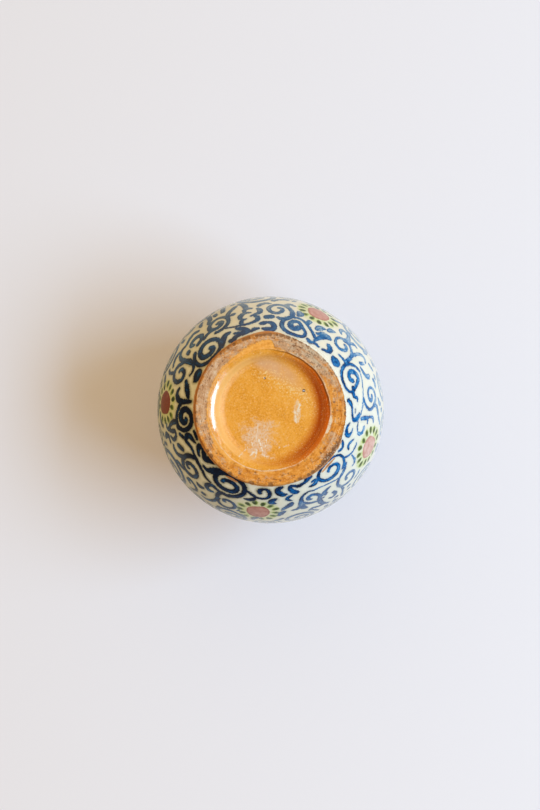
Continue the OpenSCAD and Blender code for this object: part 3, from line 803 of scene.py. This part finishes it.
# a node's output to reckon with: +, - and * each put a Math node into its tree
class Value:
    def __init__(self, socket):
        self.socket, self.tree = socket, socket.id_data

    def __add__(self, other):
        return calc("ADD", self, other)

    def __sub__(self, other):
        return calc("SUBTRACT", self, other)

    def __rsub__(self, other):
        return calc("SUBTRACT", other, self)

    def __mul__(self, other):
        return calc("MULTIPLY", self, other)


# new shader node with its properties set and its inputs given as numbers, colours or values to link
def put(tree, kind, inputs=(), **settings):
    node = tree.nodes.new("ShaderNode" + kind)
    for key, value in settings.items():
        setattr(node, key, value)
    for key, value in dict(inputs).items():
        if isinstance(value, Value):
            tree.links.new(value.socket, node.inputs[key])
        else:
            node.inputs[key].default_value = value
    return node


# one output of a node, by its name or its number
def outOf(node, key=0):
    return Value(node.outputs[key])


# a Math node on values and numbers, in the tree of the first value
def calc(operation, *values):
    tree = next(value.tree for value in values if isinstance(value, Value))
    return outOf(put(tree, "Math", enumerate(values), operation=operation))


# 0 at low and 1 at high, with a smooth step between
def rise(value, low, high):
    return outOf(put(value.tree, "MapRange", {0: value, 1: low, 2: high}, interpolation_type="SMOOTHSTEP"))


# colour under, covered by colour over where the mask is 1
def cover(mask, under, over):
    return outOf(put(mask.tree, "Mix", {0: mask, 6: under, 7: over}, data_type="RGBA"), 2)


# noise between 0 and 1 with features of about this size in mm
def grain(where, size, detail=3.0, rough=.55):
    return outOf(put(where.tree, "TexNoise", {"Vector": where, "Scale": 1000 / size, "Detail": detail,
                                              "Roughness": rough}))


# scattered cells of about this size in mm: distance from each one's middle, and two numbers drawn for it
def cells(where, size):
    node = put(where.tree, "TexVoronoi", {"Vector": where, "Scale": 1000 / size, "Randomness": 1.0})
    drawn = put(where.tree, "SeparateColor", {0: outOf(node, "Color")})
    return outOf(node, "Distance"), outOf(drawn, 0), outOf(drawn, 1)


# the place turned about the axis and drawn out along its second direction
def drawnOut(where, turn, share):
    return outOf(put(where.tree, "Mapping", {"Vector": where, "Rotation": (0, 0, turn),
                                             "Scale": (1, share, 1)}))


# colour along a row of stops
def ramp(value, stops):
    node = put(value.tree, "ValToRGB", {0: value})
    while len(node.color_ramp.elements) < len(stops):
        node.color_ramp.elements.new(.5)
    for element, (place, colour) in zip(node.color_ramp.elements, stops):
        element.position, element.color = place, (*colour, 1)
    return outOf(node)


# node group that reads a place; build fills it and gives back a value for each named output
def nodeGroup(name, outputs, build):
    tree = bpy.data.node_groups.new(name, "ShaderNodeTree")
    tree.interface.new_socket("Where", in_out="INPUT", socket_type="NodeSocketVector")
    for key, kind in outputs.items():
        tree.interface.new_socket(key, in_out="OUTPUT", socket_type="NodeSocket" + kind)
    given = tree.nodes.new("NodeGroupInput")
    taken = tree.nodes.new("NodeGroupOutput")
    for key, value in build(outOf(given, "Where")).items():
        tree.links.new(value.socket, taken.inputs[key])
    return tree


# a group's outputs at a place, by name
def placed(group, where):
    node = put(where.tree, "Group", {"Where": where}, node_tree=group)
    return {socket.name: Value(socket) for socket in node.outputs}


# fired glaze: slow mottling, small pinholes and iron specks, and a faint orange-peel height
def firedGlaze(where):
    mottle = grain(where, 14, 5)
    away, first, second = cells(where, 5.5)
    speck = rise(away, .075, .03) * rise(first, .72, .78)
    hole = rise(away, .06, .02) * rise(second, .8, .85)
    peel = grain(where, 2.4, 2) * .5 + grain(where, 9, 2)
    return {"Mottle": mottle, "Speck": speck, "Height": peel - hole * 2.0}


clayColours = dict(tone=[(.3, (.42, .15, .05)), (.5, (.60, .26, .09)), (.7, (.70, .36, .15))],
                   dark=(.10, .045, .02, 1), pale=(.78, .62, .42, 1))


# fired earthenware: sandy grain, paler and darker patches, and dark and pale grit
def firedClay(where):
    sand, patch = grain(where, .55, 4, .7), grain(where, 9, 5, .6)
    away, first, second = cells(where, 1.5)
    dark = rise(away, .3, .12) * rise(first, .75, .8)
    pale = rise(away, .28, .1) * rise(second, .82, .88)
    colour = ramp(patch * .75 + sand * .25, clayColours["tone"])
    colour = cover(dark * .6, colour, clayColours["dark"])
    colour = cover(pale * .5, colour, clayColours["pale"])
    return {"Colour": colour, "Patch": patch, "Height": sand * .6 - dark * .5}


glazeGroup = nodeGroup("fired glaze", dict(Mottle="Float", Speck="Float", Height="Float"), firedGlaze)
clayGroup = nodeGroup("fired clay", dict(Colour="Color", Patch="Float", Height="Float"), firedClay)


# empty material with its shader; gives back the material, the shader node, the object coordinates
# and a function that reads a value stored at the vertices
def newMaterial(name, **constants):
    material = bpy.data.materials.new(name)
    material.use_nodes = True
    tree = material.node_tree
    tree.nodes.clear()
    shader = put(tree, "BsdfPrincipled", {k.replace("_", " "): v for k, v in constants.items()})
    put(tree, "OutputMaterial", {"Surface": outOf(shader)})

    def stored(key):
        return outOf(put(tree, "Attribute", attribute_name=key), "Fac")

    return material, shader, outOf(put(tree, "TexCoord"), "Object"), stored


# the finished colour, roughness and height go to the shader; depth is what a height of 1 stands for, in mm
def finish(shader, colour, roughness, height, depth):
    bump = put(height.tree, "Bump", {"Height": height, "Distance": depth * mm, "Strength": 1.0})
    for key, value in (("Base Color", colour), ("Roughness", roughness), ("Normal", outOf(bump))):
        height.tree.links.new(value.socket, shader.inputs[key])


paintColours = dict(
    cream=[(.30, (.82, .77, .60)), (.5, (.86, .82, .68)), (.72, (.84, .77, .59))],
    cobalt=[(0, (.36, .50, .62)), (.2, (.075, .26, .48)), (.4, (.010, .165, .43)), (.6, (.003, .070, .235)),
            (.8, (.009, .030, .085)), (1, (.009, .014, .036))],
    rose=[(.10, (.80, .50, .40)), (.34, (.63, .30, .23)), (.55, (.52, .20, .14)), (.90, (.25, .045, .012))],
    petal=[(.30, (.030, .05, .005)), (.5, (.08, .125, .013)), (.70, (.24, .33, .05))],
    smoke=(.098, .112, .172, 1), halo=(.56, .64, .13, 1), seepLit=(.34, .45, .50, 1),
    seepShaded=(.24, .22, .11, 1), speck=(.16, .09, .04, 1), freckle=(.52, .42, .24, 1))
# size in mm of what roughens the paint, and how ragged each painted edge is
paintGrain = dict(fray=1.3, wash=4.2, fine=.5, bristle=1.2, freckle=.8, bristleShare=.16, bump=.12)
ragged = dict(halo=3.0, rose=1.2, petal=.9, cobalt=1.5, glazeEdge=1.1)


# painted cream glaze: brush masks come from the painted distances, roughened by noise at the brush's scale
def paintedGlaze():
    c, g = paintColours, paintGrain
    material, shader, where, stored = newMaterial("painted_glaze", IOR=1.5, Specular_IOR_Level=.4)
    glaze, clay = placed(glazeGroup, where), placed(clayGroup, where)
    fray = grain(where, g["fray"]) - .5
    wash, fine = grain(where, g["wash"]), grain(where, g["fine"], 2)
    # bristle marks: long along the stroke, fine across it
    stroke = put(where.tree, "CombineXYZ", {0: stored("brushAlong") * (g["bristleShare"] * mm),
                                            1: stored("brushAcross") * mm})
    bristle = grain(outOf(stroke), g["bristle"], 3, .6) - .5
    halo, rose, petal, ink, edge = (fray * ragged[key] + stored(key) for key in ragged)
    ink = bristle * 1.3 + (fine - .5) * .8 + ink
    colour = ramp(glaze["Mottle"], c["cream"])
    colour = cover(glaze["Speck"] * .55, colour, c["speck"])
    colour = cover(rise(grain(where, g["freckle"], 3, .6), .60, .74) * .28, colour, c["freckle"])
    colour = cover(rise(halo, -.6, 2.2) * rise(wash, .18, .75) * .8, colour, c["halo"])
    rim = rise(rose, -.2, .4) - rise(rose, .5, 2.2)
    roseTone = wash * .8 + rim * .22 + stored("roseDeep")
    colour = cover(rise(rose, -.2, .5), colour, ramp(roseTone, c["rose"]))
    green = rise(petal, 1.4, .1) * .3 + fray * .5 + wash - .1
    colour = cover(rise(petal, -.3, .5), colour, ramp(green, c["petal"]))
    # cobalt seeps a little into the glaze beside the stroke and gathers along its edges; the seep is
    # painted bluish-grey where the cobalt lies thin and olive where it lies thick, as on the shaded side:
    # lit and shaded copies of one stain
    tone = stored("cobaltTone")
    stain = cover(rise(tone, .6, .9), c["seepLit"], c["seepShaded"])
    colour = cover(rise(ink, -2.4, .5) * tone * .66, colour, stain)
    gathered = rise(ink, -.1, .3) - rise(ink, .4, 1.1)
    depth = (wash - .5) * 1.1 + (tone - .05) + gathered * .22 + fray * .7 + bristle * 1.3
    brushed = cover(stored("smoke"), ramp(depth, c["cobalt"]), c["smoke"])
    colour = cover(rise(ink, -.25, .5), colour, brushed)
    # the glaze thins out to bare clay along its lower edge
    bare = rise(edge, .3, -.2)
    colour = cover(bare, colour, clay["Colour"])
    rough = glaze["Mottle"] * .10 + bare * .45 + .09
    height = rise(ink, -.2, .5) * .25 + fine * .05 + glaze["Height"]
    finish(shader, colour, rough, height, g["bump"])
    return material


# among these colours, the cove's paler and darker ambers are painted light and shade, the hazy film is
# partly a painted reflection, the pale smear is also painted as a highlight, the pits' pale middles and the
# glint specks are painted highlights, and the dark edge line is a painted shadow
amberColours = dict(
    tone=[(.25, (.74, .28, .020)), (.5, (.89, .385, .049)), (.75, (.93, .45, .081))],
    coveLight=(.95, .52, .16, 1), coveShade=(.60, .095, .0004, 1), filmSheen=(.77, .42, .21, 1), scuff=(.70, .51, .37, 1),
    scratch=(.86, .76, .60, 1), gleamSmear=(.90, .84, .64, 1), pit=(.10, .045, .015, 1),
    pitHighlight=(.70, .74, .80, 1), glint=(.95, .66, .28, 1), edgeShadow=(.12, .035, .006, 1),
    speck=(.25, .08, .012, 1))
# size in mm of the streaks and stains, and the turn in radians and the share that draw the streaks out
amberGrain = dict(brush=2.6, crisp=1.3, cloud=9, frost=7, score=1.5, gleamSmear=3, spark=1.1, streaks=(.7, .3),
                  scored=(-.95, .12), bump=.26)


# honey amber glaze: brushed streaks over the warm clay; in the recess also a film that is partly a painted
# reflection, scuffs, and pooled glaze in the cove with painted shade on the side away from the window and
# painted light on the side towards it
def amberGlaze(name, marked):
    c, g = amberColours, amberGrain
    material, shader, where, stored = newMaterial(name, IOR=1.6, Specular_IOR_Level=.5, Coat_Weight=1.0,
                                                  Coat_Roughness=.08, Coat_IOR=1.6)
    glaze = placed(glazeGroup, where)
    streaks = drawnOut(where, *g["streaks"])
    brush, crisp = grain(streaks, g["brush"], 4, .65), grain(where, g["crisp"], 4, .7)
    colour = ramp(brush * .25 + glaze["Mottle"] * .7 + (crisp - .5) * 1.15, c["tone"])
    rough = brush * .10 + .09
    if marked:
        cloud = stored("filmSheen") * rise(grain(streaks, g["cloud"], 4), .1, .6)
        frost = (grain(where, g["frost"], 6, .75) - .5) * 3.6 + stored("scuff")
        frost = rise(frost, -.05, .55) * rise(crisp, .28, .58)
        score = rise(grain(drawnOut(where, *g["scored"]), g["score"], 3, .6), .60, .68)
        score = score * rise(stored("scuff"), -.1, .45)
        torn = (crisp - .5) * 3.4 + stored("scratch")
        # the pale smear, whiter with a paler edge: partly a smear, partly a painted highlight
        gleamSmear = (grain(where, g["gleamSmear"], 4, .6) - .5) * 1.6 + stored("gleamSmear")
        ringed = rise(gleamSmear, .2, .6) * -.3 + .5  # paler round its edge
        pit, glintZone, dull = stored("pit"), stored("glintZone"), stored("dull")
        # painted glints: pale specks that stand in for highlights on the orange peel, most where they
        # gather
        spark = rise(glintZone * .10 + grain(where, g["spark"], 3, .6), .575, .70)
        # the cove's paler and darker ambers below are painted light and painted shade
        for key, mask in (("coveLight", stored("coveLight") * .6), ("coveShade", stored("coveShade") * .99),
                          # the film below is partly a painted reflection
                          ("filmSheen", cloud * .85), ("scuff", frost * .7), ("scratch", score * .4),
                          ("scratch", rise(torn, .35, .9) * .85), ("gleamSmear", rise(gleamSmear, -.05, .3) * ringed),
                          # pits: darkened inside, with a pale bluish highlight painted in their middle
                          ("pit", rise(pit, .1, .5)), ("pitHighlight", rise(pit, .72, .92)),
                          # the dark line along the edge below is a painted shadow
                          ("glint", spark * (glintZone * .4 + .45)), ("edgeShadow", stored("edgeShadow"))):
            colour = cover(mask, colour, c[key])
        polish = 1.0 - calc("MAXIMUM", frost, dull)
        where.tree.links.new(polish.socket, shader.inputs["Coat Weight"])
        rough = frost * .3 + dull * .40 + rough
    colour = cover(glaze["Speck"] * .5, colour, c["speck"])
    finish(shader, colour, rough, crisp * .7 + glaze["Height"], g["bump"])
    return material


clayShader = dict(IOR=1.45, Specular_IOR_Level=.25)


# bare earthenware: sandy grain and grit
def bareClay(name):
    material, shader, where, _ = newMaterial(name, **clayShader)
    clay = placed(clayGroup, where)
    finish(shader, clay["Colour"], clay["Patch"] * .2 + .66, clay["Height"], .10)
    return material


treadColours = dict(
    orange=[(0, (.30, .08, .012)), (.33, (.64, .22, .026)), (.6, (.82, .335, .055)), (1, (.91, .54, .20))],
    rubbed=[(0, (.22, .10, .046)), (.33, (.49, .26, .128)), (.6, (.64, .40, .232)), (1, (.80, .65, .48))],
    amber=[(.1, (.60, .22, .03)), (.5, (.86, .38, .07)), (.9, (.92, .48, .13))], raw=(.62, .18, .012, 1),
    dirt=(.185, .078, .036, 1), dent=(.20, .09, .04, 1), pale=(.82, .70, .52, 1), flake=(.60, .50, .35, 1))
# size in mm of the wear, and how the turned streaks are squeezed across the tread and drawn out round it
treadGrain = dict(streak=1.6, wash=4.5, sand=.9, patch=5, coarse=1.2, blotch=3, flake=2.6, crumb=.8,
                  fray=1.6, squeezed=.0012, drawn=.22, bump=.4)


# the tread: orange clay rubbed grey along its turning grooves, dirt in dents and on the outer edge,
# amber lapped over the inner edge and cream run over from the wall
def treadClay():
    c, g = treadColours, treadGrain
    material, shader, where, stored = newMaterial("tread_clay", **clayShader)
    glaze = placed(glazeGroup, where)
    rimmed = stored("rim")  # mm outside the inner edge
    place = put(where.tree, "SeparateXYZ", {0: where})
    # streaks that follow the turning: fine across the tread, long round it
    parts = (rimmed * g["squeezed"], outOf(place, 0) * g["drawn"], outOf(place, 1) * g["drawn"])
    turned = outOf(put(where.tree, "CombineXYZ", enumerate(parts)))
    streak, wash = grain(turned, g["streak"], 4, .65), grain(where, g["wash"], 6, .78)
    sand = grain(where, g["sand"], 3, .7)
    mixed = (sand * .14 + streak * .30 + wash * .56 - .5) * 3.3 + .50
    colour = ramp(mixed, c["orange"])
    # the rubbed band lies along the middle of the tread, with patchy edges
    middle = rise(rimmed, .2, 3.0) * rise(rimmed, 10.0, 7.0)
    patchy = (streak - .5) * .9 + (grain(where, g["patch"], 5, .75) - .5) * 3.2
    rub = middle * .5 + (stored("rubbed") - .4) + patchy
    colour = cover(rise(rub, .15, .75) * .92, colour, ramp(mixed, c["rubbed"]))
    coarse, blotch = grain(where, g["coarse"], 4, .8), grain(where, g["blotch"], 4, .7)
    dirty = stored("dirty")
    edge = dirty * 2.0 + blotch * 7.0 + rimmed
    chalk = rise(edge, 9.1, 11.1) * rise(sand, .54, .66)
    # a crust flakes along the turning: grimy hollows between pale flakes
    flake, crust = grain(turned, g["flake"], 5, .75), stored("crust")
    grime = rise(blotch, .46, .58) * rise(coarse, .46, .56)
    crumbs = rise(grain(where, g["crumb"], 3, .8), .64, .73)
    for key, mask in (("raw", stored("raw") * rise(rimmed, 9.3, 9.9)),
                      ("dirt", rise(edge, 11.8, 13.6) * dirty), ("pale", chalk * dirty * .7),
                      ("flake", rise(flake, .47, .58) * crust * .75), ("dirt", grime * crust * .85),
                      ("dent", rise(coarse, .64, .74) * .5), ("pale", crumbs * .32),
                      ("dent", rise(stored("dent"), .06, .3) * .7)):
        colour = cover(mask, colour, c[key])
    fray = grain(where, g["fray"], 4) - .5
    inner = fray * 1.8 + rimmed
    reach = fray * 2.6 + inner - stored("lap")
    lap = rise(reach, .9, -.8) * rise(reach * -.12 + wash, .22, .55)
    colour = cover(lap, colour, ramp(mixed, c["amber"]))
    # the pale line along the inner edge is partly a painted highlight where the glaze edge catches the
    # light; it widens to a chipped sliver where it is strongest
    pale = stored("pale")
    sliver = calc("MAXIMUM", pale - .8, 0) * -3.0 + inner
    line = rise(sliver, 1.0, .3) * calc("MINIMUM", pale, 1) * rise(wash, .34, .5)
    colour = cover(line * .8, colour, c["pale"])
    over = rise(fray * 1.5 + stored("glazeOver"), -.15, .25)
    colour = cover(over, colour, ramp(glaze["Mottle"], paintColours["cream"]))
    shine = calc("MAXIMUM", over, lap)
    height = (streak * .8 + sand * .35) * (1.1 - shine) + coarse * (.9 - shine * .8)
    finish(shader, colour, shine * -.60 + .72, height, g["bump"])
    return material


paint = paintedGlaze()
for piece in (lowerGlaze, upperGlaze, neckCoat):
    piece.data.materials.append(paint)
    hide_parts("outer_glaze")
footClay.data.materials.append(treadClay())
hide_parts("foot_ring")
footAmber.data.materials.append(amberGlaze("recess_amber", True))
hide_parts("base_glaze")


# CAD nodes keep their shape and take a finish
def dress(node, material):
    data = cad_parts[node].data
    data.materials.clear()
    data.materials.append(material)


dress("lining_glaze", amberGlaze("lining_amber", False))
bodyClay = bareClay("body_clay")
for node in ("lower_bowl", "upper_dome", "neck_collar"):
    dress(node, bodyClay)
print("materials:", len(bpy.data.materials))

# the sheets in metres, the distances between which the floor fades, and each one's colour and faint glow
stageLook = dict(lipPlane=150.3 * mm, size=3.0, fade=(.35, 1.5), floor=(.86, .85, .83, 1),
                 floorGlow=(.03, .03, .03, 1), paper=(.664, .710, .742, 1), paperGlow=(.14, .075, .078, 1))


# a plain pale sheet that only the camera sees, from its front: light passes through it from behind,
# and where it fades, it thins out by its distance from the axis
def sheet(name, height, up, colour, glow, fades):
    half = stageLook["size"]
    ring = [(-half, -half, height), (half, -half, height), (half, half, height), (-half, half, height)]
    mesh = bpy.data.meshes.new(name)
    mesh.from_pydata(ring, [], [(0, 1, 2, 3) if up else (3, 2, 1, 0)])
    obj = bpy.data.objects.new(name, mesh)
    bpy.context.scene.collection.objects.link(obj)
    material = bpy.data.materials.new(name)
    material.use_nodes = True
    tree = material.node_tree
    tree.nodes.clear()
    matt = put(tree, "AddShader", {0: outOf(put(tree, "BsdfDiffuse", {"Color": colour})),
                                   1: outOf(put(tree, "Emission", {"Color": glow}))})
    clear = put(tree, "BsdfTransparent")
    unseen = 1.0 - outOf(put(tree, "LightPath"), "Is Camera Ray")
    hidden = calc("MAXIMUM", unseen, outOf(put(tree, "NewGeometry"), "Backfacing"))
    if fades:
        place = outOf(put(tree, "TexCoord"), "Object")
        away = outOf(put(tree, "VectorMath", {0: place}, operation="LENGTH"), "Value")
        hidden = calc("MAXIMUM", hidden, rise(away, *stageLook["fade"]))
    mix = put(tree, "MixShader", {0: hidden, 1: outOf(matt), 2: outOf(clear)})
    put(tree, "OutputMaterial", {"Surface": outOf(mix)})
    mesh.materials.append(material)


sheet("floor", 0.0, True, stageLook["floor"], stageLook["floorGlow"], True)
sheet("backdrop", stageLook["lipPlane"], False, stageLook["paper"], stageLook["paperGlow"], False)

# lamps: direction from the vase in degrees, then distance, width and height in metres, watts and colour
lamps = dict(
    window=dict(azimuth=5, height=-48, far=3.0, wide=2.6, tall=1.2, watts=110.0, colour=(.535, .735, 1.0)),
    upper=dict(azimuth=330, height=78, far=2.5, wide=4.0, tall=4.0, watts=36.0, colour=(1.0, .97, .92)))
glintChanges = dict(far=2.9, wide=1.3, tall=1.7, watts=88.0)  # the window again, as it is mirrored
target = np.array([0, 0, globe["centreZ"] * mm])


# a flat lamp that faces the middle of the globe
def lamp(name, azimuth, height, far, wide, tall, watts, colour):
    data = bpy.data.lights.new(name, "AREA")
    data.shape, data.size, data.size_y, data.energy, data.color = "RECTANGLE", wide, tall, watts, colour
    obj = bpy.data.objects.new(name, data)
    away = direction(azimuth, 90.0 + height)
    obj.location = target + far * away
    obj.rotation_euler = Vector(away).to_track_quat("Z", "Y").to_euler()
    obj.visible_camera = obj.visible_glossy = False
    bpy.context.scene.collection.objects.link(obj)
    return obj


for name, settings in lamps.items():
    lamp(name, **settings)
# the window is mirrored only in the wet-looking glaze of the recess
glint = lamp("glint", **{**lamps["window"], **glintChanges})
glint.visible_diffuse, glint.visible_glossy = False, True
glint.light_linking.receiver_collection = bpy.data.collections.new("glint")
glint.light_linking.receiver_collection.objects.link(footAmber)

# surroundings: warm from below, pale from above, and a pale room for the camera and for reflections
room = dict(below=(1.0, .725, .34, 1), corner=(.22, .19, .125, 1), shade=(.24, .19, .12, 1),
            above=(.60, .60, .59, 1), seen=(.90, .90, .89, 1), mirrored=(.05, .04, .02, 1),
            dim=(.29, .235, .15, 1), dusk=(.36, .335, .31, 1), ceiling=(.86, .87, .88, 1))
world = bpy.data.worlds.new("room")
bpy.context.scene.world = world
world.use_nodes = True
tree = world.node_tree
tree.nodes.clear()
towards = put(tree, "SeparateXYZ", {0: outOf(put(tree, "TexCoord"), "Generated")})
right, back, height = (outOf(towards, key) for key in "XYZ")
across = calc("ABSOLUTE", back)
# light from below is warm on one side, and light from above is shaded on the left
under = cover((right * -.5 + back * -.87) * .5 + .5, room["corner"], room["below"])
over = cover(rise(right, -.7, .6), room["shade"], room["above"])
fill = cover(rise(height, -.25, .35), under, over)
# reflections see a pale ceiling on the right and a dim one on the left
unlit = cover(rise(across, .03, .25), room["dim"], room["dusk"])
lit = cover(rise(across * .35 + right, -.12, .12), unlit, room["ceiling"])
path = put(tree, "LightPath")
fill = cover(outOf(path, "Is Glossy Ray"), fill, cover(rise(height, .1, .7), room["mirrored"], lit))
fill = cover(outOf(path, "Is Camera Ray"), fill, room["seen"])
background = put(tree, "Background", {"Color": fill, "Strength": 1.0})
put(tree, "OutputWorld", {"Surface": outOf(background)})

cameraSettings = dict(lens=136.6, sensor=36.0, location=(-.00042, -.0034, -2.1092), turn=(math.pi, 0, 0))
lensData = bpy.data.cameras.new("camera")
lensData.lens, lensData.sensor_width = cameraSettings["lens"], cameraSettings["sensor"]
camera = bpy.data.objects.new("camera", lensData)
camera.location, camera.rotation_euler = cameraSettings["location"], cameraSettings["turn"]
bpy.context.scene.collection.objects.link(camera)
bpy.context.scene.camera = camera
bpy.context.scene.view_settings.view_transform = "Standard"
